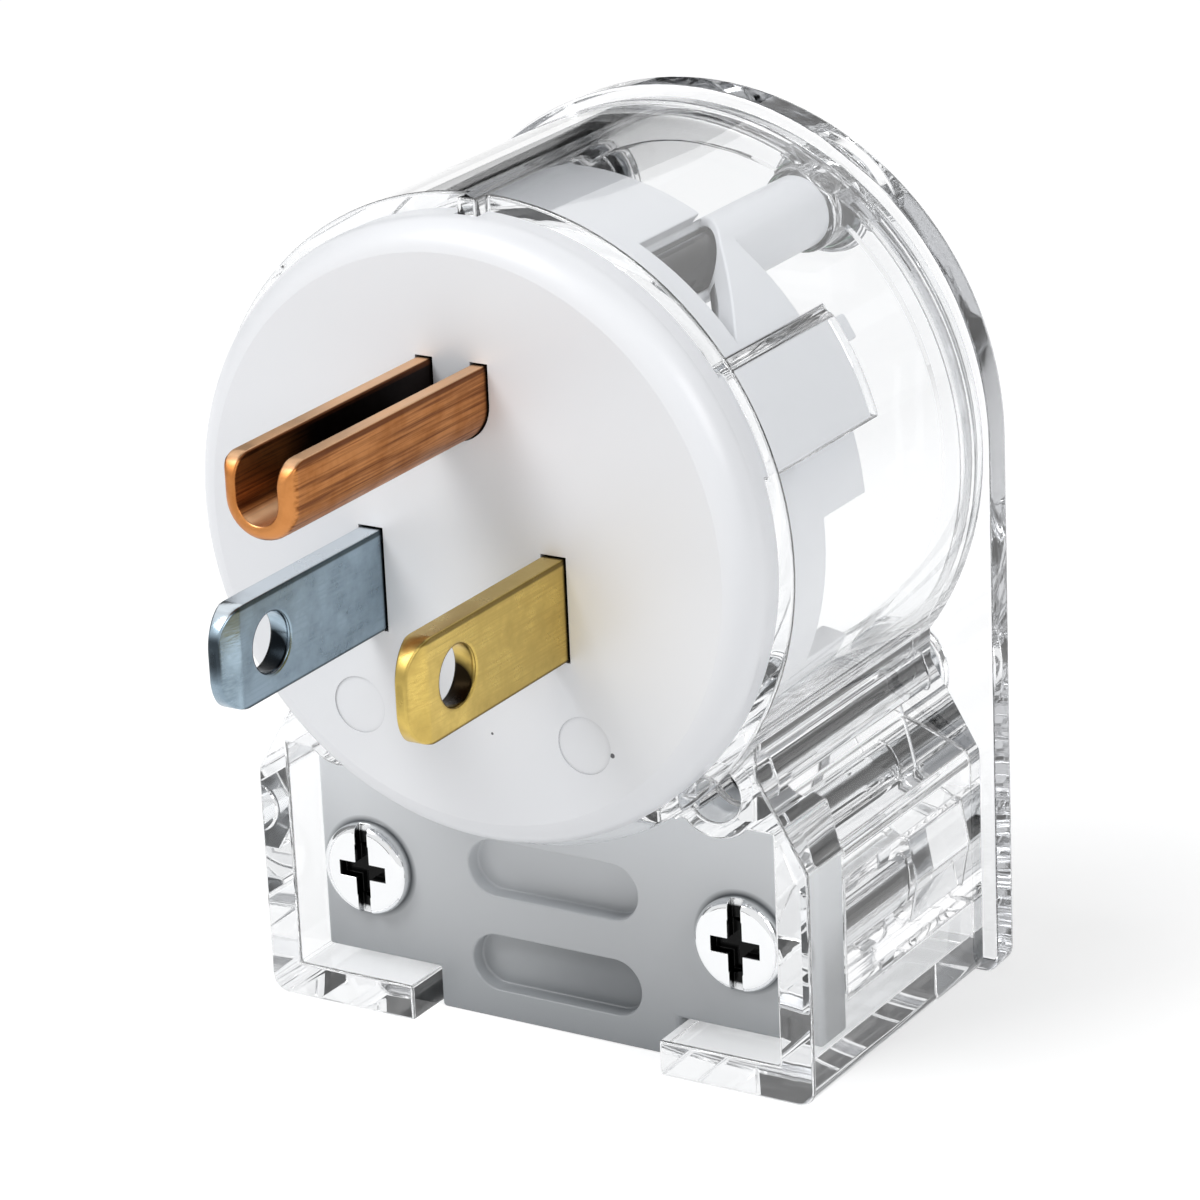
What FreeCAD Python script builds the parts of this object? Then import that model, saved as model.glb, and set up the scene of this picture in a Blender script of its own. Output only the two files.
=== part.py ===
import FreeCAD, Part
import math
import os

# A clear right-angle plug with two flat blades and a U-shaped ground pin.
# Lengths are millimetres. The origin is the centre of the flat front face.
# The blades point towards -Y, the body lies towards +Y, and the plug stands
# upright on its cord end, with the ground pin uppermost (+Z).

# Contacts, as the plug standard gives them
blade_spacing = 12.7
blade_thickness = 1.52
blade_width = 6.35
blade_length = 16.4
blade_drop = 3.1
blade_hole_radius = 1.8
blade_hole_distance = 11.6
blade_hole_chamfer = 0.15
blade_nose_length = 1.9
blade_nose_thickness = 0.7
blade_corner_radius = 2.4
ground_rise = 11.89
ground_pin_width = 4.77
ground_pin_length = 19.9
ground_wall = 1.0
ground_wall_corner = 1.5
ground_nose_round = 0.8

# Dead front, the white face that carries the contacts
rim_step = 1.0
face_round_width = 1.7
rim_bulge_depth = 2.4
flange_depth = 3.6
face_thickness = 3.0
spigot_wall = 1.4
spigot_length = 3.4
ejector_mark_radius = 1.8
ejector_mark_depth = 0.08
ejector_mark_spread = 7.9
ejector_mark_drop = 11.4
side_key_height = 5.6
side_key_centre = 8.3
side_key_length = 12.0
rim_key_width = 1.4
rim_key_depth = 1.2

# Clear housing: a round barrel over a square cord box
shell_radius = 20.3
shell_wall = 1.8
joint_depth = 27.4
box_setback = 1.6
box_side_step = 0.6
box_drop = 14.4
box_wall = 2.4
shoulder_rise = 15.2
neck_rise = 5.6
neck_step = 3.3
box_edge_round = 1.2
web_rise = 1.1
web_thickness = 2.8
cord_gap_half_width = 8.9
passage_half_width = 9.2
passage_rise = 5.5
chamber_drop = 0.3
key_depth = 1.0
key_slot_play = 0.6

# Back cover
cover_thickness = 2.8
cover_overhang = 0.3
cover_arch_height = 0.4
cover_edge_round = 0.8
cover_corner_round = 1.0
cover_lip_wall = 1.4
cover_lip_depth = 1.6
grip_rib_count = 3
grip_rib_rise = 1.2
grip_rib_pitch = 4.2
grip_rib_width = 1.4
grip_rib_height = 1.2
grip_rib_gap = 0.4

# Cord clamp
clamp_thickness = 3.2
clamp_corner_round = 0.4
clamp_recess_half_length = 6.1
clamp_recess_height = 3.7
clamp_recess_depth = 1.1
clamp_recess_rise = 4.6
clamp_recess_pitch = 6.4
clamp_screw_inset = 3.85
clamp_screw_rise = 6.25
clamp_boss_wall = 0.6
clamp_nut_inset = 6.9

# Terminal block and terminals
block_gap = 1.6
block_web_thickness = 1.6
block_wall = 1.4
block_wall_length = 5.8
block_window_sill = 0.8
block_window_half_height = 4.3
barrier_thickness = 1.6
barrier_length = 10.9
barrier_angle = 32.0
barrier_nut_gap = 1.1
bottom_barrier_drop = 10.0
relief_angle = 45.0
relief_low = -3.6
relief_high = 5.8
relief_start = 0.8
shoulder_width = 8.6
tail_length = 10.2
terminal_screw_reach = 5.0
clamp_plate_size = 7.6
clamp_plate_thickness = 1.2
clamp_plate_lip = 0.7
clamp_plate_groove = 0.3

# Assembly screws
upper_screw_inset = 2.45
upper_screw_angle = 58.7
lower_screw_outset = 2.0
lower_screw_angle = 49.0
lower_boss_wall = 1.4
lower_screw_tip_gap = 0.7
lower_window_radius = 1.75
lower_window_depth = 3.0
post_wall = 0.5
cover_boss_length = 2.2
boss_flare = 0.4
upper_screw_tip = 1.6
screw_seat_depth = 0.2

# Screw and nut sizes
screw_radius = 1.45
screw_head_radius = 3.05
screw_head_height = 1.0
terminal_screw_radius = 1.9
terminal_head_radius = 3.1
terminal_head_height = 2.0
head_round = 0.6
screw_point = 0.4
slot_width = 0.9
slot_depth = 0.6
cross_width = 1.0
cross_length = 3.4
cross_depth = 0.75
nut_width = 5.5
nut_thickness = 2.4
terminal_nut_width = 6.2
terminal_nut_thickness = 2.4

# Clearances
fit_clearance = 0.1
slide_clearance = 0.2
thread_clearance = 0.08
cut_margin = 1.0
near = 0.01
diagonal = math.sqrt(0.5)

# Sizes and places worked out from the values above
blade_height = -blade_drop
ground_height = ground_rise - blade_drop
ground_tail_bottom = ground_height - ground_pin_width / 2
shell_bore = shell_radius - shell_wall
rim_radius = shell_radius - rim_step
face_radius = rim_radius - face_round_width
spigot_radius = shell_bore - slide_clearance
spigot_bore = spigot_radius - spigot_wall
spigot_end = flange_depth + spigot_length
block_radius = spigot_radius - slide_clearance
block_front = face_thickness + block_gap
block_back = spigot_end + block_web_thickness
block_wall_end = block_back + block_wall_length
barrier_end = block_back + barrier_length
tail_end = block_back + tail_length
terminal_screw_depth = block_back + terminal_screw_reach
box_front = flange_depth + box_setback
box_half_width = shell_radius - box_side_step
box_bottom = -shell_radius - box_drop
box_inside = box_half_width - box_wall
floor_top = box_bottom + box_wall
shoulder_height = box_bottom + shoulder_rise
neck_height = shoulder_height + neck_rise
neck_half_width = box_half_width - neck_step
web_bottom = -shell_bore + web_rise
passage_top = -shell_bore + passage_rise
chamber_top = -shell_radius - chamber_drop
cover_radius = shell_radius + cover_overhang
cover_back = joint_depth + cover_thickness
cover_boss_end = joint_depth - cover_boss_length
clamp_front = box_front + web_thickness
clamp_back = clamp_front + clamp_thickness
clamp_recess_centre = floor_top + clamp_recess_rise
clamp_screw_spread = box_inside - clamp_screw_inset
clamp_screw_height = floor_top + clamp_screw_rise
clamp_nut_depth = joint_depth - clamp_nut_inset
clamp_screw_length = clamp_nut_depth + nut_thickness - clamp_front
clamp_boss_radius = (nut_width / 2 + fit_clearance) / math.cos(math.radians(30)) + clamp_boss_wall
grip_rib_reach = clamp_screw_spread - clamp_boss_radius - grip_rib_gap
screw_head_seat = cover_back - screw_seat_depth - screw_head_height
post_radius = screw_radius + slide_clearance + post_wall
lower_boss_radius = screw_radius + lower_boss_wall
upper_screw_spread = (shell_bore - upper_screw_inset) * math.cos(math.radians(upper_screw_angle))
upper_screw_height = (shell_bore - upper_screw_inset) * math.sin(math.radians(upper_screw_angle))
lower_screw_spread = (shell_bore + lower_screw_outset) * math.cos(math.radians(lower_screw_angle))
lower_screw_height = -(shell_bore + lower_screw_outset) * math.sin(math.radians(lower_screw_angle))
lower_screw_tip = box_front + lower_window_depth + lower_screw_tip_gap
barrier_slope = math.radians(barrier_angle)
barrier_apex = (ground_tail_bottom - terminal_nut_thickness - barrier_nut_gap
                - barrier_thickness / 2 / math.cos(barrier_slope)
                - terminal_nut_width / 2 * math.tan(barrier_slope))


def vec(x, y, z):
    return FreeCAD.Vector(x, y, z)


def block(x0, x1, y0, y1, z0, z1):
    """Box between two values on each axis."""
    return Part.makeBox(x1 - x0, y1 - y0, z1 - z0, vec(x0, y0, z0))


def rod(radius, x, z, y0, y1):
    """Cylinder along Y."""
    return Part.makeCylinder(radius, y1 - y0, vec(x, y0, z), vec(0, 1, 0))


def polygon_prism(points, y0, y1):
    """Prism along Y over a closed outline of (x, z) points."""
    corners = [vec(x, y0, z) for x, z in points]
    wire = Part.makePolygon(corners + [corners[0]])
    return Part.Face(wire).extrude(vec(0, y1 - y0, 0))


def mirrored(shape):
    """Copy on the other side of the YZ plane."""
    return shape.mirror(vec(0, 0, 0), vec(1, 0, 0))


def both_sides(shape):
    return shape.fuse(mirrored(shape))


def edges_along_y(shape, places):
    """Edges parallel to Y whose (x, z) is one of the given places."""
    found = []
    for edge in shape.Edges:
        a, b = edge.Vertexes[0].Point, edge.Vertexes[-1].Point
        straight = abs(a.x - b.x) < near and abs(a.z - b.z) < near and abs(a.y - b.y) > near
        if straight and any(abs(a.x - x) < near and abs(a.z - z) < near for x, z in places):
            found.append(edge)
    return found


def cleaned(shape):
    """One refined solid."""
    shape = shape.removeSplitter()
    return shape.Solids[0] if len(shape.Solids) == 1 else shape


# Screws and nuts are made head first along +Y, with the seat at the origin.

def screw(shank_radius, head_radius, head_height, length):
    """Pan-head screw with a slot and a cross recess."""
    rim = vec(head_radius, -head_height + head_round, 0)
    bend = vec(head_radius - head_round * (1 - diagonal), -head_height + head_round * (1 - diagonal), 0)
    crown = vec(head_radius - head_round, -head_height, 0)
    rest = [crown, vec(0, -head_height, 0), vec(0, length, 0), vec(shank_radius - screw_point, length, 0),
            vec(shank_radius, length - screw_point, 0), vec(shank_radius, 0, 0),
            vec(head_radius, 0, 0), rim]
    outline = Part.Wire([Part.Arc(rim, bend, crown).toShape()] + Part.makePolygon(rest).Edges)
    body = Part.Face(outline).revolve(vec(0, 0, 0), vec(0, 1, 0), 360)
    reach = head_radius + cut_margin
    outer = -head_height - cut_margin
    slot = block(-slot_width / 2, slot_width / 2, outer, -head_height + slot_depth, -reach, reach)
    upright = block(-cross_width / 2, cross_width / 2, outer, -head_height + cross_depth,
                    -cross_length / 2, cross_length / 2)
    level = block(-cross_length / 2, cross_length / 2, outer, -head_height + cross_depth,
                  -cross_width / 2, cross_width / 2)
    return body.cut(slot.fuse(upright).fuse(level))


def hex_nut(width, thickness, bore):
    """Hexagon nut from y = 0 to its thickness."""
    corner = width / math.sqrt(3)
    points = [(corner * math.cos(math.radians(60 * i)), corner * math.sin(math.radians(60 * i)))
              for i in range(6)]
    return polygon_prism(points, 0, thickness).cut(rod(bore, 0, 0, -cut_margin, thickness + cut_margin))


def square_nut(width, thickness, bore):
    nut = block(-width / 2, width / 2, 0, thickness, -width / 2, width / 2)
    return nut.cut(rod(bore, 0, 0, -cut_margin, thickness + cut_margin))


def placed(shape, x, y, z, axis=None, angle=0):
    """Copy turned about the origin, then moved."""
    copy = shape.copy()
    if axis is not None:
        copy.rotate(vec(0, 0, 0), axis, angle)
    copy.translate(vec(x, y, z))
    return copy


# Contacts

def blade(side):
    """Flat blade: coined nose, cross hole, shoulder and terminal tail."""
    x = side * blade_spacing / 2
    half = blade_thickness / 2
    top = blade_height + blade_width / 2
    bottom = blade_height - blade_width / 2
    strip = block(x - half, x + half, -blade_length, tail_end, bottom, top)
    nose_corners = [e for e in strip.Edges
                    if all(abs(v.Point.y + blade_length) < near for v in e.Vertexes)
                    and abs(e.Vertexes[0].Point.x - e.Vertexes[-1].Point.x) > near]
    strip = strip.makeFillet(blade_corner_radius, nose_corners)
    for sign in (-1, 1):
        face = x + sign * half
        flat = x + sign * blade_nose_thickness / 2
        wedge = Part.Face(Part.makePolygon([
            vec(face, -blade_length + blade_nose_length, bottom - cut_margin),
            vec(face + sign * cut_margin, -blade_length + blade_nose_length, bottom - cut_margin),
            vec(face + sign * cut_margin, -blade_length - cut_margin, bottom - cut_margin),
            vec(flat, -blade_length - cut_margin, bottom - cut_margin),
            vec(flat, -blade_length, bottom - cut_margin),
            vec(face, -blade_length + blade_nose_length, bottom - cut_margin),
        ])).extrude(vec(0, 0, blade_width + 2 * cut_margin))
        strip = strip.cut(wedge)
    hole_y = -blade_hole_distance
    hole = Part.makeCylinder(blade_hole_radius, blade_thickness + 2 * cut_margin,
                             vec(x - half - cut_margin, hole_y, blade_height), vec(1, 0, 0))
    strip = strip.cut(hole)
    for sign in (-1, 1):
        countersink = Part.makeCone(blade_hole_radius, blade_hole_radius + blade_hole_chamfer,
                                    blade_hole_chamfer,
                                    vec(x + sign * (half - blade_hole_chamfer), hole_y, blade_height),
                                    vec(sign, 0, 0))
        strip = strip.cut(countersink)
    shoulder = block(x - half, x + half, face_thickness, block_front,
                     blade_height - shoulder_width / 2, blade_height + shoulder_width / 2)
    screw_hole = Part.makeCylinder(terminal_screw_radius + thread_clearance,
                                   blade_thickness + 2 * cut_margin,
                                   vec(x - half - cut_margin, terminal_screw_depth, blade_height),
                                   vec(1, 0, 0))
    return cleaned(strip.fuse(shoulder).cut(screw_hole))


def ground_profile(half_width, centre):
    """U-shaped section: round below, straight sides to the open top."""
    top = centre + ground_pin_width / 2
    arc = Part.Arc(vec(-half_width, 0, centre), vec(0, 0, centre - half_width),
                   vec(half_width, 0, centre)).toShape()
    sides = Part.makePolygon([vec(half_width, 0, centre), vec(half_width, 0, top),
                              vec(-half_width, 0, top), vec(-half_width, 0, centre)])
    return Part.Face(Part.Wire([arc] + sides.Edges))


def ground_pin():
    """Folded U pin with a rounded nose, a shoulder and a flat terminal tail."""
    half = ground_pin_width / 2
    inner = half - ground_wall
    centre = ground_height
    top = centre + half
    tip = -ground_pin_length
    back = block_front
    outer = ground_profile(half, centre)
    outer.translate(vec(0, tip, 0))
    pin = outer.extrude(vec(0, back - tip, 0))
    nose_edges = [e for e in pin.Edges
                  if all(abs(v.Point.y - tip) < near for v in e.Vertexes)
                  and min(v.Point.z for v in e.Vertexes) < top - near]
    pin = pin.makeFillet(ground_nose_round, nose_edges)
    channel_floor = rod(inner, 0, centre, tip - cut_margin, back + cut_margin)
    channel = block(-inner, inner, tip - cut_margin, back + cut_margin, centre, top + cut_margin)
    pin = pin.cut(channel.fuse(channel_floor))
    side = half + cut_margin
    round_y = tip + ground_wall_corner
    round_z = top - ground_wall_corner
    wall_corner = block(-side, side, tip - cut_margin, round_y, round_z, top + cut_margin)
    wall_round = Part.makeCylinder(ground_wall_corner, 2 * side, vec(-side, round_y, round_z), vec(1, 0, 0))
    pin = pin.cut(wall_corner.cut(wall_round))
    shoulder = block(-shoulder_width / 2, shoulder_width / 2, face_thickness, back,
                     centre - half, centre - inner)
    tail = block(-blade_width / 2, blade_width / 2, back, tail_end, centre - half, centre - inner)
    pin = pin.fuse(shoulder).fuse(tail)
    hole = Part.makeCylinder(terminal_screw_radius + thread_clearance, ground_wall + 2 * cut_margin,
                             vec(0, terminal_screw_depth, centre - half - cut_margin), vec(0, 0, 1))
    return cleaned(pin.cut(hole))


# Terminal hardware, made once and placed three times

def wire_clamp():
    """Pressure plate from y = -thickness to 0, with turned-down side lips."""
    half = clamp_plate_size / 2
    plate = block(-half, half, -clamp_plate_thickness, 0, -half, half)
    hole = rod(terminal_screw_radius + fit_clearance, 0, 0, -2 * clamp_plate_thickness, cut_margin)
    groove = block(-half + clamp_plate_lip, half - clamp_plate_lip,
                   -clamp_plate_groove, cut_margin, -half - cut_margin, half + cut_margin)
    return cleaned(plate.cut(groove).cut(hole))


def terminal_set(tail_thickness):
    """Screw, pressure plate and nut for a tail that spans y = 0 to its thickness."""
    length = clamp_plate_thickness + tail_thickness + terminal_nut_thickness
    body = screw(terminal_screw_radius, terminal_head_radius, terminal_head_height, length)
    nut = square_nut(terminal_nut_width, terminal_nut_thickness,
                     terminal_screw_radius + thread_clearance)
    return {
        "terminal_screw": placed(body, 0, -clamp_plate_thickness, 0),
        "wire_clamp": wire_clamp(),
        "terminal_nut": placed(nut, 0, tail_thickness, 0),
    }


def terminals():
    """The three terminal sets, each turned so that its screw head faces outward."""
    made = {}
    outer_x = blade_spacing / 2 + blade_thickness / 2
    tail_top = ground_tail_bottom + ground_wall
    for kind, shape in terminal_set(blade_thickness).items():
        made[kind + "_hot"] = placed(shape, outer_x, terminal_screw_depth, blade_height,
                                     vec(0, 0, 1), 90)
        made[kind + "_neutral"] = placed(shape, -outer_x, terminal_screw_depth, blade_height,
                                         vec(0, 0, 1), -90)
    for kind, shape in terminal_set(ground_wall).items():
        made[kind + "_ground"] = placed(shape, 0, terminal_screw_depth, tail_top, vec(1, 0, 0), -90)
    return made


# White mouldings

def blade_slots(y0, y1, clearance):
    """Cutters for the two flat blades."""
    half = blade_thickness / 2 + clearance
    tall = blade_width / 2 + clearance
    x = blade_spacing / 2
    return both_sides(block(x - half, x + half, y0, y1, blade_height - tall, blade_height + tall))


def rim_key(clearance):
    """Small locating tooth at the top of the housing's rim."""
    half = rim_key_width / 2 + clearance
    return block(-half, half, flange_depth - rim_key_depth - clearance, flange_depth,
                 shell_bore - clearance, rim_radius + cut_margin)


def side_key(radius, clearance, length):
    """Right-hand locating key between the dead front and the housing's bore."""
    half = side_key_height / 2 + clearance
    band = rod(radius, 0, 0, flange_depth, flange_depth + length)
    return band.common(block(0, radius + cut_margin, flange_depth, flange_depth + length,
                             side_key_centre - half, side_key_centre + half))


def dead_front():
    """Round white face with a soft rim, spigot, keys and screw bosses."""
    start = vec(face_radius, 0, 0)
    end = vec(rim_radius, rim_bulge_depth, 0)
    bend = vec(face_radius + (rim_radius - face_radius) * diagonal, rim_bulge_depth * (1 - diagonal), 0)
    rest = [end, vec(rim_radius, flange_depth, 0), vec(spigot_radius, flange_depth, 0),
            vec(spigot_radius, spigot_end, 0), vec(spigot_bore, spigot_end, 0),
            vec(spigot_bore, face_thickness, 0), vec(0, face_thickness, 0), vec(0, 0, 0), start]
    outline = Part.Wire([Part.Arc(start, bend, end).toShape()] + Part.makePolygon(rest).Edges)
    body = Part.Face(outline).revolve(vec(0, 0, 0), vec(0, 1, 0), 360)
    band = both_sides(side_key(spigot_radius + key_depth, 0, side_key_length))
    band = band.cut(rod(spigot_bore, 0, 0, flange_depth - cut_margin, spigot_end))
    band = band.cut(rod(spigot_radius, 0, 0, spigot_end, joint_depth))
    boss = rod(post_radius + boss_flare, upper_screw_spread, upper_screw_height, face_thickness, spigot_end)
    boss = boss.common(rod(spigot_radius, 0, 0, 0, spigot_end))
    body = body.fuse(band).fuse(both_sides(boss))
    body = body.cut(blade_slots(-cut_margin, face_thickness + cut_margin, fit_clearance))
    pin = ground_profile(ground_pin_width / 2 + fit_clearance, ground_height)
    pin.translate(vec(0, -cut_margin, 0))
    pin = pin.extrude(vec(0, face_thickness + 2 * cut_margin, 0))
    lift = pin.copy()
    lift.translate(vec(0, 0, fit_clearance))
    inside = ground_pin_width / 2 - ground_wall - fit_clearance
    tongue = block(-inside, inside, 0, face_thickness, ground_height,
                   ground_height + ground_pin_width / 2 + 2 * fit_clearance)
    tongue = tongue.fuse(rod(inside, 0, ground_height, 0, face_thickness))
    body = body.cut(pin.fuse(lift).cut(tongue))
    pilot = rod(screw_radius + thread_clearance, upper_screw_spread, upper_screw_height,
                upper_screw_tip - thread_clearance, spigot_end + cut_margin)
    mark = rod(ejector_mark_radius, ejector_mark_spread, -ejector_mark_drop, -cut_margin,
               ejector_mark_depth)
    body = body.cut(both_sides(pilot)).cut(both_sides(mark)).cut(rim_key(fit_clearance))
    return cleaned(body)


def barrier(angle, length):
    """Insulating wall between the terminals, from the barriers' meeting line outward."""
    wall = block(0, length, spigot_end, barrier_end, -barrier_thickness / 2, barrier_thickness / 2)
    return placed(wall, 0, 0, barrier_apex, vec(0, 1, 0), -angle)


def screw_relief():
    """Three-cornered window beside the upper right screw, cut from outside."""
    depth = math.hypot(upper_screw_spread, upper_screw_height)
    start = block_front + relief_start
    corners = [vec(depth, start, relief_low), vec(depth, start, relief_high),
               vec(depth, block_wall_end + cut_margin, relief_high)]
    cutter = Part.Face(Part.makePolygon(corners + [corners[0]])).extrude(vec(block_radius, 0, 0))
    cutter.rotate(vec(0, 0, 0), vec(0, 1, 0), -relief_angle)
    return cutter


def terminal_block():
    """White block that traps the contacts' shoulders and parts the terminals."""
    body = rod(spigot_bore - slide_clearance, 0, 0, block_front, spigot_end)
    wall = rod(block_radius, 0, 0, spigot_end, block_wall_end)
    wall = wall.cut(rod(block_radius - block_wall, 0, 0, block_back, block_wall_end + cut_margin))
    body = body.fuse(wall)
    barriers = barrier(270, bottom_barrier_drop + barrier_apex)
    for angle in (barrier_angle, 180 - barrier_angle):
        barriers = barriers.fuse(barrier(angle, 2 * block_radius))
    body = body.fuse(barriers.common(rod(block_radius - block_wall / 2, 0, 0, spigot_end, barrier_end)))
    post = rod(post_radius, upper_screw_spread, upper_screw_height, spigot_end, cover_boss_end)
    body = body.fuse(both_sides(post))
    side_window = block(blade_spacing / 2, block_radius + cut_margin,
                        block_back + block_window_sill, block_wall_end + cut_margin,
                        blade_height - block_window_half_height, blade_height + block_window_half_height)
    wire_window = block(-passage_half_width, passage_half_width, block_back,
                        block_wall_end + cut_margin, -block_radius - cut_margin, passage_top)
    boss_room = rod(post_radius + boss_flare + slide_clearance, upper_screw_spread, upper_screw_height,
                    block_front - cut_margin, spigot_end)
    screw_room = rod(screw_radius + slide_clearance, upper_screw_spread, upper_screw_height,
                     spigot_end - cut_margin, cover_boss_end + cut_margin)
    body = body.cut(both_sides(side_window)).cut(wire_window).cut(both_sides(screw_relief()))
    body = body.cut(both_sides(boss_room)).cut(both_sides(screw_room))
    body = body.cut(blade_slots(block_front - cut_margin, block_back + cut_margin, fit_clearance))
    tail_half = blade_width / 2 + fit_clearance
    tail_slot = block(-tail_half, tail_half, block_front - cut_margin, block_back + cut_margin,
                      ground_tail_bottom - fit_clearance,
                      ground_tail_bottom + ground_wall + fit_clearance)
    return cleaned(body.cut(tail_slot))


# Clear mouldings

def box_outline(inset, bottom):
    """Half outline of the cord box, as (x, z) points from the neck down."""
    return [(neck_half_width - inset, passage_top + box_wall), (neck_half_width - inset, neck_height),
            (box_half_width - inset, shoulder_height), (box_half_width - inset, bottom)]


def housing():
    """Clear barrel and cord box in one moulding, open front and back."""
    half = box_outline(0, box_bottom)
    outline = half + [(-x, z) for x, z in reversed(half)]
    box = polygon_prism(outline, box_front, joint_depth)
    corners = [(side * x, z) for side in (-1, 1)
               for x, z in ((box_half_width, box_bottom), (box_half_width, shoulder_height))]
    box = box.makeFillet(box_edge_round, edges_along_y(box, corners))
    barrel = rod(shell_radius, 0, 0, flange_depth, joint_depth)
    body = barrel.fuse(box)
    body = body.cut(rod(shell_bore, 0, 0, flange_depth - cut_margin, joint_depth + cut_margin))
    pocket = block(-box_inside, box_inside, box_front - cut_margin, clamp_back, floor_top, web_bottom)
    chamber = block(-box_inside, box_inside, clamp_back, joint_depth + cut_margin, floor_top,
                    chamber_top)
    passage = block(-passage_half_width, passage_half_width, clamp_front,
                    joint_depth + cut_margin, chamber_top - cut_margin, passage_top)
    gap = block(-cord_gap_half_width, cord_gap_half_width, box_front - cut_margin,
                joint_depth + cut_margin, box_bottom - cut_margin, floor_top + cut_margin)
    body = body.cut(pocket).cut(chamber).cut(passage).cut(gap)
    clamp_boss = rod(clamp_boss_radius, clamp_screw_spread, clamp_screw_height, clamp_back, joint_depth)
    rib = block(clamp_screw_spread, box_inside + cut_margin, clamp_back, joint_depth,
                clamp_screw_height - clamp_boss_radius, clamp_screw_height + clamp_boss_radius)
    lower_boss = rod(lower_boss_radius, lower_screw_spread, lower_screw_height, box_front, joint_depth)
    lower_boss = lower_boss.cut(rod(shell_bore, 0, 0, box_front - cut_margin, joint_depth + cut_margin))
    body = body.fuse(both_sides(clamp_boss.fuse(rib).fuse(lower_boss)))
    clamp_hole = rod(screw_radius + slide_clearance, clamp_screw_spread, clamp_screw_height,
                     clamp_back - cut_margin, joint_depth + cut_margin)
    nut_room = placed(hex_nut(nut_width + 2 * fit_clearance, joint_depth + cut_margin - clamp_nut_depth,
                              screw_radius), clamp_screw_spread, clamp_nut_depth, clamp_screw_height)
    pilot = rod(screw_radius + thread_clearance, lower_screw_spread, lower_screw_height,
                box_front - cut_margin, joint_depth + cut_margin)
    window = rod(lower_window_radius, lower_screw_spread, lower_screw_height,
                 box_front - cut_margin, box_front + lower_window_depth)
    body = body.cut(both_sides(clamp_hole.fuse(nut_room))).cut(both_sides(pilot.fuse(window)))
    key_slot = side_key(shell_bore + key_depth, fit_clearance, side_key_length + key_slot_play)
    body = body.cut(both_sides(key_slot))
    tooth = rim_key(0).common(rod(shell_radius, 0, 0, 0, flange_depth))
    return cleaned(body.fuse(tooth))


def cover_blank():
    """Arched plate a little larger than the barrel, with rounded back edges."""
    arch = rod(cover_radius, 0, cover_arch_height, joint_depth, cover_back)
    skirt = block(-cover_radius, cover_radius, joint_depth, cover_back, box_bottom, cover_arch_height)
    corners = [(side * cover_radius, box_bottom) for side in (-1, 1)]
    skirt = skirt.makeFillet(cover_corner_round, edges_along_y(skirt, corners))
    plate = cleaned(arch.fuse(skirt))
    back_edges = [e for e in plate.Edges
                  if all(abs(v.Point.y - cover_back) < near for v in e.Vertexes)]
    return plate.makeFillet(cover_edge_round, back_edges)


def grip_ribs(y0, y1):
    """Level ribs that bite into the cord's jacket."""
    middles = [floor_top + grip_rib_rise + index * grip_rib_pitch for index in range(grip_rib_count)]
    ribs = [block(-grip_rib_reach, grip_rib_reach, y0, y1, z - grip_rib_width / 2, z + grip_rib_width / 2)
            for z in middles]
    return ribs[0].fuse(ribs[1:])


def assembly_places():
    """(name, x, z) of the four assembly screws."""
    return [("upper_left", -upper_screw_spread, upper_screw_height),
            ("upper_right", upper_screw_spread, upper_screw_height),
            ("lower_left", -lower_screw_spread, lower_screw_height),
            ("lower_right", lower_screw_spread, lower_screw_height)]


def back_cover():
    """Clear arched cover with a locating lip, cord ribs and screw seats."""
    body = cover_blank()
    lip_radius = shell_bore - slide_clearance
    lip = rod(lip_radius, 0, 0, joint_depth - cover_lip_depth, joint_depth)
    lip = lip.cut(rod(lip_radius - cover_lip_wall, 0, 0, joint_depth - cover_lip_depth - cut_margin,
                      joint_depth + cut_margin))
    body = body.fuse(lip)
    boss = rod(post_radius + boss_flare, upper_screw_spread, upper_screw_height,
               cover_boss_end, joint_depth)
    boss = boss.common(rod(lip_radius, 0, 0, cover_boss_end, joint_depth))
    body = body.fuse(both_sides(boss))
    body = body.fuse(grip_ribs(joint_depth - grip_rib_height, joint_depth))
    for _, x, z in assembly_places():
        body = body.cut(rod(screw_radius + slide_clearance, x, z, cover_boss_end - cut_margin,
                            cover_back + cut_margin))
        body = body.cut(rod(screw_head_radius + slide_clearance, x, z, screw_head_seat,
                            cover_back + cut_margin))
    return cleaned(body)


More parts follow.
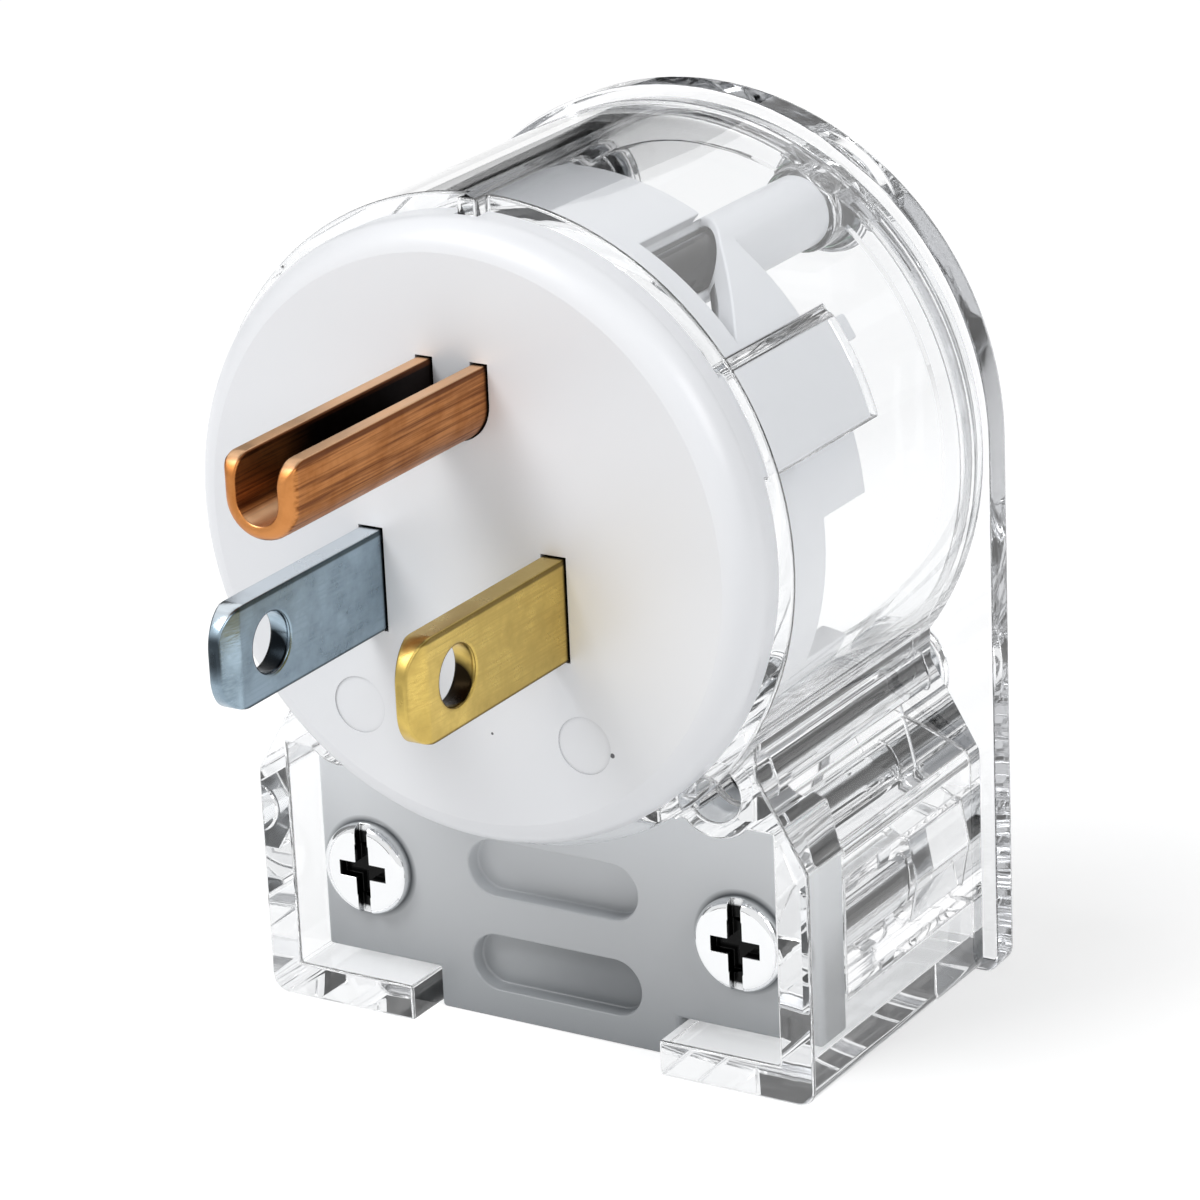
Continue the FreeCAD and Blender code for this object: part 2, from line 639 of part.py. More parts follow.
def cord_clamp():
    """White clamp plate with two long recesses outside and ribs inside."""
    half = box_inside - slide_clearance
    floor = floor_top + slide_clearance
    top = web_bottom - slide_clearance
    plate = block(-half, half, clamp_front, clamp_back, floor, top)
    tongue_half = cord_gap_half_width - slide_clearance
    tongue = block(-tongue_half, tongue_half, clamp_front, clamp_back, box_bottom, floor)
    body = cleaned(plate.fuse(tongue))
    front_edges = [e for e in body.Edges
                   if all(abs(v.Point.y - clamp_front) < near for v in e.Vertexes)
                   and max(v.Point.z for v in e.Vertexes) > box_bottom + near]
    body = body.makeFillet(clamp_corner_round, front_edges)
    for sign in (-0.5, 0.5):
        z = clamp_recess_centre + sign * clamp_recess_pitch
        radius = clamp_recess_height / 2
        reach = clamp_recess_half_length - radius
        recess = block(-reach, reach, clamp_front - cut_margin, clamp_front + clamp_recess_depth,
                       z - radius, z + radius)
        for end in (-reach, reach):
            recess = recess.fuse(rod(radius, end, z, clamp_front - cut_margin,
                                     clamp_front + clamp_recess_depth))
        body = body.cut(recess)
    body = body.fuse(grip_ribs(clamp_back, clamp_back + grip_rib_height))
    hole = rod(screw_radius + slide_clearance, clamp_screw_spread, clamp_screw_height,
               clamp_front - cut_margin, clamp_back + cut_margin)
    notch = rod(lower_boss_radius + slide_clearance, lower_screw_spread, lower_screw_height,
                clamp_front - cut_margin, clamp_back + cut_margin)
    barrel_room = rod(shell_bore, 0, 0, clamp_front - cut_margin, clamp_back + cut_margin)
    return cleaned(body.cut(both_sides(hole.fuse(notch))).cut(barrel_room))


# Fasteners

def fasteners():
    """Clamp screws and nuts, and the four assembly screws from the back."""
    made = {}
    clamp_screw = screw(screw_radius, screw_head_radius, screw_head_height, clamp_screw_length)
    nut = hex_nut(nut_width, nut_thickness, screw_radius + thread_clearance)
    for name, side in (("left", -1), ("right", 1)):
        x = side * clamp_screw_spread
        made["clamp_screw_" + name] = placed(clamp_screw, x, clamp_front, clamp_screw_height)
        made["clamp_nut_" + name] = placed(nut, x, clamp_nut_depth, clamp_screw_height)
    for name, x, z in assembly_places():
        tip = upper_screw_tip if z > 0 else lower_screw_tip
        body = screw(screw_radius, screw_head_radius, screw_head_height, screw_head_seat - tip)
        made["assembly_screw_" + name] = placed(body, x, screw_head_seat, z, vec(0, 0, 1), 180)
    return made


parts = {
    "housing": housing(),
    "back_cover": back_cover(),
    "dead_front": dead_front(),
    "terminal_block": terminal_block(),
    "hot_blade": blade(1),
    "neutral_blade": blade(-1),
    "ground_pin": ground_pin(),
    "cord_clamp": cord_clamp(),
}
parts.update(terminals())
parts.update(fasteners())

os.makedirs("parts", exist_ok=True)
for node, shape in parts.items():
    shape.exportStep("parts/" + node + ".step")
    box = shape.BoundBox
    print(node, "valid" if shape.isValid() else "not valid", len(shape.Solids), "solid",
          round(shape.Volume, 1), "mm3,", round(box.XMin, 2), round(box.XMax, 2), round(box.YMin, 2),
          round(box.YMax, 2), round(box.ZMin, 2), round(box.ZMax, 2))
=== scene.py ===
import math

import bpy
from mathutils import Matrix, Vector


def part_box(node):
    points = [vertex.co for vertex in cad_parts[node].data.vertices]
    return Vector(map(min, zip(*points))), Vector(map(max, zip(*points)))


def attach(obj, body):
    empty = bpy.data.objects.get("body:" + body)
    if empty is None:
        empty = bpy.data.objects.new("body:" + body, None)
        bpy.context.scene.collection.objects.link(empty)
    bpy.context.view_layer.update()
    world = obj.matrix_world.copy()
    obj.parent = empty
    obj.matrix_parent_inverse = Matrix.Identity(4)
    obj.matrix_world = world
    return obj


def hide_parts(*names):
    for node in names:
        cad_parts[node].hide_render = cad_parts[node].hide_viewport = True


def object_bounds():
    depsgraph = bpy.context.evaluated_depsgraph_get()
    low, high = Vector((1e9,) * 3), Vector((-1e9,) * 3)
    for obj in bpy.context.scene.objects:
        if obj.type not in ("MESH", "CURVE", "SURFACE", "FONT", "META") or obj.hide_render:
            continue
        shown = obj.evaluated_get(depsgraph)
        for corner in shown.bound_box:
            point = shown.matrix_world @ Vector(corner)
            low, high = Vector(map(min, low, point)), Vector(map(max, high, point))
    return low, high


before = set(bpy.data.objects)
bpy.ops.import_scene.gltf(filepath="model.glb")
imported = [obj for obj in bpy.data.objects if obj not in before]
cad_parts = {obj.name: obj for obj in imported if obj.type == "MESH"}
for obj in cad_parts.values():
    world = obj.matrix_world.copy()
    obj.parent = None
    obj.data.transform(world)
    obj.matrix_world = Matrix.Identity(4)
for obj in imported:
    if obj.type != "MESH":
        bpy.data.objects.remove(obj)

cad_box = [list(corner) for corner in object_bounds()]

# Camera
# The photo's viewpoint, worked out from the blades' standard spacing: in front
# of the plug, a little above it and to its right.
view_azimuth = math.radians(32.1)
view_elevation = math.radians(20.0)
view_roll = math.radians(-2.57)
view_distance = 0.29974
view_aim = Vector((0.0, 0.005, -0.010))
view_side_step = 0.00513
view_rise = 0.00452

view_back = Vector((math.sin(view_azimuth) * math.cos(view_elevation),
                    -math.cos(view_azimuth) * math.cos(view_elevation),
                    math.sin(view_elevation)))
level_right = (-view_back).cross(Vector((0, 0, 1))).normalized()
level_up = level_right.cross(-view_back)
view_right = level_right * math.cos(view_roll) + level_up * math.sin(view_roll)
view_up = level_up * math.cos(view_roll) - level_right * math.sin(view_roll)
view_place = view_aim + view_back * view_distance + view_right * view_side_step + view_up * view_rise
view_turn = Matrix((view_right, view_up, view_back)).transposed().to_4x4()
camera_data = bpy.data.cameras.new("camera")
camera_data.lens = 150
camera_data.sensor_width = 36
camera_data.sensor_fit = "HORIZONTAL"
camera_data.clip_start = 0.01
camera = bpy.data.objects.new("camera", camera_data)
bpy.context.scene.collection.objects.link(camera)
camera.matrix_world = Matrix.Translation(view_place) @ view_turn
bpy.context.scene.camera = camera

# Studio
# A pale floor under the plug, a white surround, two soft lamps above, and grey
# and black cards beside the view, which draw the streaks in clear plastic and metal.
plug_middle = (0, 0, 0)
floor_level = cad_box[0][2]
floor_size = 4.0
floor_shine = 0.42
white = (1, 1, 1, 1)


def new_material(name):
    """A material with an empty node tree, and its tree."""
    material = bpy.data.materials.new(name)
    material.use_nodes = True
    material.node_tree.nodes.clear()
    return material, material.node_tree


def feed(tree, socket, value):
    """Gives a socket a value of its own, or links it to the socket that is the value."""
    if isinstance(value, bpy.types.NodeSocket):
        tree.links.new(value, socket)
    else:
        socket.default_value = value


def set_up(tree, node, *inputs, **settings):
    """Gives a node its inputs, in order or by name with underscores for spaces, and its other settings."""
    for key, value in settings.items():
        socket = node.inputs.get(key.replace("_", " "))
        if socket is None:
            setattr(node, key, value)
        else:
            feed(tree, socket, value)
    for socket, value in zip(node.inputs, inputs):
        feed(tree, socket, value)


def add_node(tree, kind, *inputs, **settings):
    """A new node, set up."""
    node = tree.nodes.new(kind)
    set_up(tree, node, *inputs, **settings)
    return node


def product(tree, *masks):
    """The masks multiplied together."""
    total = masks[0]
    for mask in masks[1:]:
        total = add_node(tree, "ShaderNodeMath", total, mask, operation="MULTIPLY").outputs[0]
    return total


def seen(tree):
    """1 for the rays that show a thing, 0 for those that only light others by it."""
    path = add_node(tree, "ShaderNodeLightPath")
    total = path.outputs["Is Camera Ray"]
    for ray in ("Is Glossy Ray", "Is Transmission Ray"):
        total = add_node(tree, "ShaderNodeMath", total, path.outputs[ray], operation="MAXIMUM").outputs[0]
    return total


bpy.ops.object.select_all(action="DESELECT")
bpy.ops.mesh.primitive_plane_add(size=floor_size, location=(0, 0, floor_level))
floor = bpy.context.object
floor.name = "studio_floor"
floor_material, floor_tree = new_material("pale_floor")
floor_shade = add_node(floor_tree, "ShaderNodeBsdfDiffuse", Color=(0.82, 0.82, 0.82, 1))
floor_glow = add_node(floor_tree, "ShaderNodeEmission", Color=white,
                      Strength=product(floor_tree, seen(floor_tree), floor_shine))
floor_sum = add_node(floor_tree, "ShaderNodeAddShader", floor_shade.outputs[0], floor_glow.outputs[0])
add_node(floor_tree, "ShaderNodeOutputMaterial", Surface=floor_sum.outputs[0])
floor.data.materials.append(floor_material)

world = bpy.data.worlds.new("white_surround")
bpy.context.scene.world = world
world.use_nodes = True
world.cycles.sampling_method = "NONE"
world_tree = world.node_tree
world_tree.nodes.clear()
world_light = add_node(world_tree, "ShaderNodeBackground", Color=white, Strength=0.45)
world_seen = add_node(world_tree, "ShaderNodeBackground", Color=white, Strength=1.0)
world_mix = add_node(world_tree, "ShaderNodeMixShader", seen(world_tree),
                     world_light.outputs[0], world_seen.outputs[0])
add_node(world_tree, "ShaderNodeOutputWorld", Surface=world_mix.outputs[0])


def turn_to(place, aim):
    """The turn that points a lamp's or a card's face from its place to the aim."""
    return (Vector(aim) - Vector(place)).to_track_quat("-Z", "Y")


def soft_lamp(name, place, size, watts):
    """Square area lamp that looks at the plug."""
    data = bpy.data.lights.new(name, "AREA")
    data.size = size
    data.energy = watts
    lamp = bpy.data.objects.new(name, data)
    bpy.context.scene.collection.objects.link(lamp)
    lamp.location = place
    lamp.rotation_euler = turn_to(place, plug_middle).to_euler()


soft_lamp("key_lamp", place=(-0.25, -0.35, 0.55), size=0.35, watts=2.6)
soft_lamp("side_lamp", place=(0.55, -0.15, 0.35), size=0.30, watts=1.15)


def card_material(name, shade):
    """Plain matt card of one grey."""
    material, tree = new_material(name)
    surface = add_node(tree, "ShaderNodeBsdfDiffuse", Color=(shade, shade, shade, 1))
    add_node(tree, "ShaderNodeOutputMaterial", Surface=surface.outputs[0])
    return material


black_card = card_material("black_card", 0.01)
grey_card = card_material("grey_card", 0.30)


def studio_card(name, material, place, width, height, aim=plug_middle):
    """Card seen only in reflections and through clear plastic."""
    bpy.ops.object.select_all(action="DESELECT")
    bpy.ops.mesh.primitive_plane_add(size=1.0)
    card = bpy.context.object
    card.name = name
    card.data.transform(Matrix.Diagonal((width, height, 1, 1)))
    card.data.transform(turn_to(place, aim).to_matrix().to_4x4())
    card.data.transform(Matrix.Translation(place))
    card.data.materials.append(material)
    card.visible_camera = False
    card.visible_diffuse = False
    card.visible_shadow = False


studio_card("left_card", grey_card, place=(-0.60, 0.05, 0.18), width=0.50, height=0.50)
studio_card("right_card", grey_card, place=(0.60, 0.10, 0.22), width=0.40, height=0.50)
studio_card("rear_card", black_card, place=(-0.38, 0.50, 0.20), width=0.40, height=0.30)
studio_card("top_card", black_card, place=(0.0, 0.10, 0.65), width=0.50, height=0.40)
studio_card("front_card", black_card, place=(-0.0441, -0.0867, -0.0302), width=0.060, height=0.0085,
            aim=(0, -0.0164, -0.0302))


# Clear housing and back cover
# Polished polycarbonate mouldings. The wall is really as thick as the solid,
# so the refraction comes from the shape.
def new_group(name, inputs, outputs):
    """Empty node group with float inputs and outputs of named kinds, its input sockets and its end node."""
    group = bpy.data.node_groups.new(name, "ShaderNodeTree")
    for socket in inputs:
        group.interface.new_socket(socket, in_out="INPUT", socket_type="NodeSocketFloat")
    for socket, kind in outputs.items():
        group.interface.new_socket(socket, in_out="OUTPUT", socket_type="NodeSocket" + kind)
    return group, add_node(group, "NodeGroupInput").outputs, add_node(group, "NodeGroupOutput")


def place_on(tree):
    """The place on the piece, in metres from the part's origin."""
    return add_node(tree, "ShaderNodeTexCoord").outputs["Object"]


def spread(tree, value, start, end, **settings):
    """The value's range from start to end, stretched to 0 to 1 or to the To ends given."""
    stretch = add_node(tree, "ShaderNodeMapRange", Value=value, From_Min=start, From_Max=end, **settings)
    return stretch.outputs["Result"]


# Small changes of gloss and a faint waviness, as a mould leaves them.
moulded_skin, skin_in, skin_out = new_group(
    "moulded_skin", ("Low Roughness", "High Roughness", "Wave Depth"),
    {"Roughness": "Float", "Normal": "Vector"})
skin_place = place_on(moulded_skin)
skin_fine = add_node(moulded_skin, "ShaderNodeTexNoise", Vector=skin_place, Scale=900.0, Detail=2.0)
skin_wave = add_node(moulded_skin, "ShaderNodeTexNoise", Vector=skin_place, Scale=90.0, Detail=0.0)
skin_gloss = spread(moulded_skin, skin_fine.outputs["Fac"], 0.5, 0.8,
                    To_Min=skin_in["Low Roughness"], To_Max=skin_in["High Roughness"])
skin_bump = add_node(moulded_skin, "ShaderNodeBump", Strength=1.0, Height=skin_wave.outputs["Fac"],
                     Distance=skin_in["Wave Depth"])
set_up(moulded_skin, skin_out, Roughness=skin_gloss, Normal=skin_bump.outputs["Normal"])


def skinned_shader(name, skin, **settings):
    """Material whose Principled shader takes its roughness and normal from a skin group."""
    material, tree = new_material(name)
    skin_values = {key: settings.pop(key) for key in list(settings) if key.endswith(("Roughness", "Depth"))}
    group = add_node(tree, "ShaderNodeGroup", node_tree=skin, **skin_values)
    shader = add_node(tree, "ShaderNodeBsdfPrincipled", Roughness=group.outputs["Roughness"],
                      Normal=group.outputs["Normal"], **settings)
    add_node(tree, "ShaderNodeOutputMaterial", Surface=shader.outputs[0])
    return material, tree, group, shader


def polished_clear(name, greying):
    """Clear plastic; greying is how soon light that runs along inside a wall turns grey, 0 for never."""
    material, tree, _, shader = skinned_shader(
        name, moulded_skin, Low_Roughness=0.0, High_Roughness=0.06, Wave_Depth=0.000006,
        Base_Color=(0.985, 0.99, 0.995, 1), IOR=1.585, Transmission_Weight=1.0)
    # Shadow and diffuse rays pass straight through, so the light inside is even.
    path = add_node(tree, "ShaderNodeLightPath")
    straight = add_node(tree, "ShaderNodeBsdfTransparent", Color=(0.96, 0.965, 0.97, 1))
    surface = shader.outputs[0]
    for ray in ("Is Diffuse Ray", "Is Shadow Ray"):
        surface = add_node(tree, "ShaderNodeMixShader", path.outputs[ray], surface,
                           straight.outputs[0]).outputs[0]
    out = tree.get_output_node("ALL")
    set_up(tree, out, Surface=surface)
    if greying:
        depth = add_node(tree, "ShaderNodeVolumeAbsorption", Color=(0.10, 0.12, 0.16, 1), Density=greying)
        set_up(tree, out, Volume=depth.outputs[0])
    return material


same_point = 0.000001
same_plane = math.radians(0.5)
sharp_edge = math.radians(35)


def softened(node, finish, edge_round, seat_gap=0.0):
    """Stands a copy with rounded edges in for a CAD node, shrunk a hair where it sits in a seat."""
    bpy.ops.object.select_all(action="DESELECT")
    piece = bpy.data.objects.new("soft_" + node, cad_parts[node].data.copy())
    bpy.context.scene.collection.objects.link(piece)
    bpy.context.view_layer.objects.active = piece
    piece.select_set(True)
    piece.data.materials.clear()
    piece.data.materials.append(finish)
    bpy.ops.object.mode_set(mode="EDIT")
    bpy.ops.mesh.select_all(action="SELECT")
    bpy.ops.mesh.remove_doubles(threshold=same_point)
    bpy.ops.mesh.customdata_custom_splitnormals_clear()
    bpy.ops.mesh.dissolve_limited(angle_limit=same_plane)
    bpy.ops.object.mode_set(mode="OBJECT")
    rounding = piece.modifiers.new("rounding", "BEVEL")
    rounding.width = edge_round
    rounding.segments = 3
    rounding.limit_method = "ANGLE"
    rounding.angle_limit = sharp_edge
    rounding.use_clamp_overlap = False
    bpy.ops.object.modifier_apply(modifier="rounding")
    bpy.ops.object.shade_smooth_by_angle(angle=sharp_edge)
    even_normals = piece.modifiers.new("even_normals", "WEIGHTED_NORMAL")
    even_normals.keep_sharp = True
    bpy.ops.object.modifier_apply(modifier="even_normals")
    if seat_gap:
        shrink = piece.modifiers.new("shrink", "DISPLACE")
        shrink.strength = -seat_gap
        shrink.mid_level = 0
        bpy.ops.object.modifier_apply(modifier="shrink")
    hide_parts(node)
    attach(piece, "root")


clear_edge_round = 0.00022
clear_seat_gap = 0.00002
clear_wall = polished_clear("clear_polycarbonate", greying=0.0)
clear_plate = polished_clear("clear_thick_plate", greying=15.0)
softened("housing", clear_wall, clear_edge_round, clear_seat_gap)
softened("back_cover", clear_plate, clear_edge_round, clear_seat_gap)


# Dead front and terminal block
# White nylon mouldings: the round face that carries the contacts, and the
# block behind it that parts the terminals.
def blended(tree, mask, first, second):
    """Mix of two colours, each a value or a socket, by a mask."""
    # The node's sockets for colours are its inputs 6 and 7 and its output 2.
    mix = add_node(tree, "ShaderNodeMix", mask, data_type="RGBA")
    first_colour, second_colour = mix.inputs[6], mix.inputs[7]
    for socket, colour in ((first_colour, first), (second_colour, second)):
        feed(tree, socket, colour + (1,) if isinstance(colour, tuple) else colour)
    return mix.outputs[2]


def along(tree, axis, start, end, shape="SMOOTHSTEP"):
    """Mask that rises from 0 to 1 between two places on an axis of the piece."""
    parts = add_node(tree, "ShaderNodeSeparateXYZ", place_on(tree))
    return spread(tree, parts.outputs[axis], start, end, interpolation_type=shape)


def around(tree, centre, outer, inner, axes=(1, 1, 1)):
    """Mask that is 1 near a point. Axes has 0 for each axis left out of the distance."""
    place = add_node(tree, "ShaderNodeVectorMath", place_on(tree), axes, operation="MULTIPLY")
    middle = [side * axis for side, axis in zip(centre, axes)]
    reach = add_node(tree, "ShaderNodeVectorMath", place.outputs["Vector"], middle, operation="DISTANCE")
    return spread(tree, reach.outputs["Value"], outer, inner)


# Painted shade in corners, holes and recesses, from how closed in they are.
painted_hollow_shading, shade_in, shade_out = new_group("painted_hollow_shading", ("Reach",), {"Hollow": "Float"})
shade_open = add_node(painted_hollow_shading, "ShaderNodeAmbientOcclusion", samples=4, only_local=True,
                      Distance=shade_in["Reach"])
set_up(painted_hollow_shading, shade_out, Hollow=spread(painted_hollow_shading, shade_open.outputs["AO"], 0.85, 0.35))


def painted_hollow_shade(tree, reach):
    """Mask of a piece's hollows that are up to about this reach wide, for painted shade."""
    return add_node(tree, "ShaderNodeGroup", node_tree=painted_hollow_shading, Reach=reach).outputs["Hollow"]


nylon_look = {"Low_Roughness": 0.30, "High_Roughness": 0.45, "Wave_Depth": 0.00001, "IOR": 1.53}
nylon_white = (0.865, 0.88, 0.91)
nylon_painted_shade = (0.52, 0.53, 0.55)
nylon_speck = (0.10, 0.10, 0.11)
speck_height = -0.0117
right_speck, right_speck_radius = 0.0098, 0.00018
middle_speck, middle_speck_radius = 0.0015, 0.00010

white_nylon, nylon_tree, _, nylon_shader = skinned_shader("face_nylon", moulded_skin, **nylon_look)
# Painted shade greys the nylon in its hollows.
nylon_colour = blended(nylon_tree, painted_hollow_shade(nylon_tree, reach=0.0015), nylon_white, nylon_painted_shade)
for speck, radius in ((right_speck, right_speck_radius), (middle_speck, middle_speck_radius)):
    speck_mask = around(nylon_tree, (speck, 0.0, speck_height), radius, 0.7 * radius)
    nylon_colour = blended(nylon_tree, speck_mask, nylon_colour, nylon_speck)
set_up(nylon_tree, nylon_shader, Base_Color=nylon_colour)


def finish_node(node, material):
    """Gives a CAD node its finish."""
    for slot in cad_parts[node].material_slots:
        slot.material = material


finish_node("dead_front", white_nylon)
softened("terminal_block", white_nylon, edge_round=0.00015)

# Cord clamp
# Milky nylon plate with two long recesses, held over the cord by two screws.
# Its colour is painted darker towards the bottom as shade, with painted shade in its recesses and round the
# screw heads.
clamp_low, clamp_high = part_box("cord_clamp")
clamp_painted_top_light = (0.88, 0.90, 0.92)
clamp_painted_bottom_shade = (0.26, 0.275, 0.29)
clamp_painted_recess_shade = (0.10, 0.11, 0.12)
recess_left, recess_right = -0.0065, 0.004
upper_recess, lower_recess = -0.0235, -0.0290
recess_rim, recess_floor = clamp_low[1] + 0.0001, clamp_low[1] + 0.0010
recess_strength = 0.62
screw_shade_width = 0.00040

clamp_nylon, clamp_tree, _, clamp_shader = skinned_shader("plate_nylon", moulded_skin, **nylon_look)
# Painted shade: the plate's colour runs from lit at the top to shaded at the bottom.
clamp_colour = blended(clamp_tree, along(clamp_tree, "Z", clamp_low[2], clamp_high[2], "LINEAR"),
                       clamp_painted_bottom_shade, clamp_painted_top_light)
# Painted shade deepening into the two recesses, stronger in the lower one.
clamp_shade = product(clamp_tree, along(clamp_tree, "Y", recess_rim, recess_floor),
                      along(clamp_tree, "X", recess_left, recess_right),
                      along(clamp_tree, "Z", upper_recess, lower_recess), recess_strength)
clamp_colour = blended(clamp_tree, clamp_shade, clamp_colour, clamp_painted_recess_shade)
# Painted shade in a thin ring just outside each screw head.
for screw in ("clamp_screw_left", "clamp_screw_right"):
    screw_low, screw_high = (Vector(corner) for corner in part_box(screw))
    head_radius = (screw_high.x - screw_low.x) / 2
    head_shade = around(clamp_tree, (screw_low + screw_high) / 2, head_radius + screw_shade_width,
                        head_radius, axes=(1, 0, 1))
    clamp_colour = blended(clamp_tree, head_shade, clamp_colour, clamp_painted_recess_shade)
set_up(clamp_tree, clamp_shader, Base_Color=clamp_colour)
softened("cord_clamp", clamp_nylon, edge_round=0.00015)

# Contacts
# Rolled strip: brass on the hot side, nickel plated on the neutral side and a
# folded copper-coloured pin for the ground, each pressed with a rounded nose.

# Heights of the middles of the pin and the blades, and where the cross holes lie.
ground_axis = 0.00879
pin_half_height = 0.0024
blade_axis = -0.0031
blade_half_height = 0.003175
hole_place = -0.0116

# Lines from rolling run along the contact, with duller patches over them.
rolled_strip, strip_in, strip_out = new_group(
    "rolled_strip", ("Low Roughness", "High Roughness", "Line Depth"),
    {"Lines": "Float", "Patches": "Float", "Top": "Float", "Roughness": "Float", "Normal": "Vector"})
strip_place = place_on(rolled_strip)
strip_stretch = add_node(rolled_strip, "ShaderNodeMapping", Vector=strip_place, Scale=(1.0, 0.022, 1.0))
strip_line = add_node(rolled_strip, "ShaderNodeTexNoise", Vector=strip_stretch.outputs["Vector"],
                      Scale=6500.0, Detail=3.0).outputs["Fac"]
strip_patch = add_node(rolled_strip, "ShaderNodeTexNoise", Vector=strip_place,
                       Scale=420.0, Detail=4.0, Roughness=0.6).outputs["Fac"]
strip_bump = add_node(rolled_strip, "ShaderNodeBump", Strength=1.0, Height=strip_line,
                      Distance=strip_in["Line Depth"])
strip_face = add_node(rolled_strip, "ShaderNodeSeparateXYZ",
                      add_node(rolled_strip, "ShaderNodeNewGeometry").outputs["Normal"])
strip_end = add_node(rolled_strip, "ShaderNodeMath", strip_face.outputs["Y"], operation="ABSOLUTE")
strip_lines = product(rolled_strip, spread(rolled_strip, strip_line, 0.42, 0.70),
                      spread(rolled_strip, strip_end.outputs[0], 0.6, 0.3))
set_up(rolled_strip, strip_out, Lines=strip_lines,
       Patches=spread(rolled_strip, strip_patch, 0.40, 0.68),
       Top=spread(rolled_strip, strip_face.outputs["Z"], 0.6, 0.9),
       Roughness=spread(rolled_strip, strip_patch, 0.3, 0.7,
                        To_Min=strip_in["Low Roughness"], To_Max=strip_in["High Roughness"]),
       Normal=strip_bump.outputs["Normal"])

# Painted dark lines along the metal's edges, standing in for dark reflections in their rounding.
painted_edge_lines, edge_in, edge_out = new_group("painted_edge_lines", ("Width",), {"Edge": "Float"})
edge_face = add_node(painted_edge_lines, "ShaderNodeNewGeometry")
edge_soft = add_node(painted_edge_lines, "ShaderNodeBevel", samples=4, Radius=edge_in["Width"])
edge_turn = add_node(painted_edge_lines, "ShaderNodeVectorMath", edge_face.outputs["Normal"],
                     edge_soft.outputs["Normal"], operation="DOT_PRODUCT")
set_up(painted_edge_lines, edge_out, Edge=spread(painted_edge_lines, edge_turn.outputs["Value"], 0.99, 0.86))


def channel_shade(tree, middle):
    """Mask of the ground pin's channel for painted shade, which darkens away from the nose."""
    wall_place, air_place = 0.00150, 0.00142
    floor_place, floor_top = ground_axis - 0.0017, ground_axis - 0.0015
    light_place, dark_place = -0.0175, -0.0115
    return product(tree, around(tree, middle, wall_place, air_place, axes=(1, 0, 0)),
                   along(tree, "Z", floor_place, floor_top), along(tree, "Y", light_place, dark_place))


def hole_shade(tree, side):
    """Mask of the lower and inner wall of a blade's cross hole, for painted shade."""
    hole = Vector((side, hole_place, blade_axis))
    rim_outer, rim_inner = 0.00188, 0.00184
    dark_middle = hole + Vector((0, 0.0010, -0.0013))
    dark_radius = 0.0021
    return product(tree, around(tree, hole, rim_outer, rim_inner, axes=(0, 1, 1)),
                   around(tree, dark_middle, dark_radius, 0.7 * dark_radius))


def nose_dark_reflection(tree, tip, strength):
    """Mask of the upper half of a blade's blunt tip, for a painted dark reflection."""
    tip_start, tip_full = tip + 0.00035, tip + 0.00010
    half_start, half_full = blade_axis - 0.0014, blade_axis + 0.0002
    return product(tree, along(tree, "Y", tip_start, tip_full),
                   along(tree, "Z", half_start, half_full), strength)


def contact_metal(name, node, plain, dull, line, painted_top_light, painted_edge_dark, painted_dark,
                  low_roughness, high_roughness, nose_reflection_paint=0.0):
    """Rolled metal from its plain colour and those of its patches and lines, with a painted highlight on
    upward faces, painted dark reflections along edges and the tip, and painted shade in hollows.
    """
    material, tree, strip, shader = skinned_shader(
        name, rolled_strip, Low_Roughness=low_roughness, High_Roughness=high_roughness,
        Line_Depth=0.000006, Metallic=1.0)
    edge_lines = add_node(tree, "ShaderNodeGroup", node_tree=painted_edge_lines, Width=0.00022)
    low, high = (Vector(corner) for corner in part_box(node))
    colour = blended(tree, strip.outputs["Patches"], plain, dull)
    colour = blended(tree, strip.outputs["Lines"], colour, line)
    top_strength, edge_strength = 0.8, 0.8
    # Painted highlight on faces that turn upwards.
    colour = blended(tree, product(tree, strip.outputs["Top"], top_strength), colour, painted_top_light)
    # Painted dark reflection along the edges.
    colour = blended(tree, product(tree, edge_lines.outputs["Edge"], edge_strength), colour, painted_edge_dark)
    if node == "ground_pin":
        bottom, brim = ground_axis - pin_half_height, high.z
        # Painted shade inside the channel.
        colour = blended(tree, channel_shade(tree, (low + high) / 2), colour, painted_dark)
    else:
        bottom, brim = blade_axis - blade_half_height, blade_axis + blade_half_height
        # Painted shade on the far wall of the cross hole.
        colour = blended(tree, hole_shade(tree, low.x), colour, painted_dark)
        # Painted dark reflection on the upper half of the tip.
        colour = blended(tree, nose_dark_reflection(tree, low.y, nose_reflection_paint), colour, painted_dark)

    # A thin painted dark reflection line runs along the upper and lower border of each flank.
    upper_border = brim - 0.00040, brim - 0.00026
    lower_border = bottom + 0.00026, bottom + 0.00012
    border_strength = 0.85
    flank = add_node(tree, "ShaderNodeMath", 1.0, strip.outputs["Top"],
                     operation="SUBTRACT", use_clamp=True)
    for border in (upper_border, lower_border):
        line_mask = product(tree, along(tree, "Z", *border), flank.outputs[0], border_strength)
        colour = blended(tree, line_mask, colour, painted_edge_dark)

    # Painted shade darkens the root where it goes into the face.
    root_start, root_full = -0.0004, 0.0001
    colour = blended(tree, along(tree, "Y", root_start, root_full), colour, painted_dark)
    set_up(tree, shader, Base_Color=colour)
    return material


